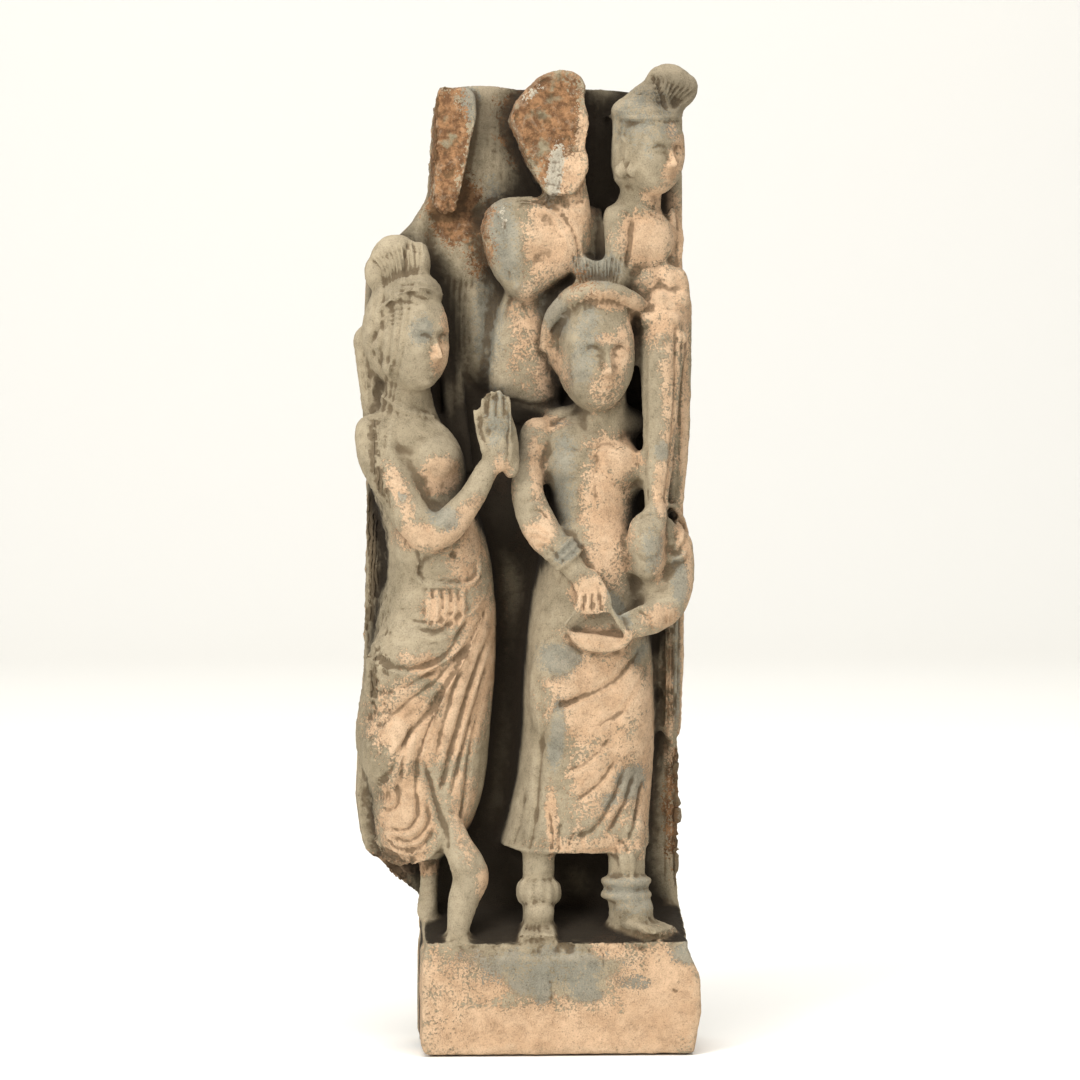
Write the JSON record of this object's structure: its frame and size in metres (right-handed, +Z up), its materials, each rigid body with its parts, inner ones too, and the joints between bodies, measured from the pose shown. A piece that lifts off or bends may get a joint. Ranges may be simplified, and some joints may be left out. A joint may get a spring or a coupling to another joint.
{
  "type": "stone relief panel",
  "caption": "Tall stone panel in high relief: standing women on a plain plinth, one with joined hands and one with a basket and a horn of fruit, under broken upper figures.",
  "frame": {"origin": "on the underside of the plinth, midway between its ends", "axes": "+X to the right across the carved face, +Y into the stone from the carved face to the flat back, +Z up"},
  "size_m": [0.21, 0.094, 0.595],
  "materials": {
    "schist": "matt grey-olive schist under thin buff clay, with rust-brown broken faces at the top"
  },
  "bodies": {
    "root": {"relief_panel": "schist"}
  },
  "joints": []
}
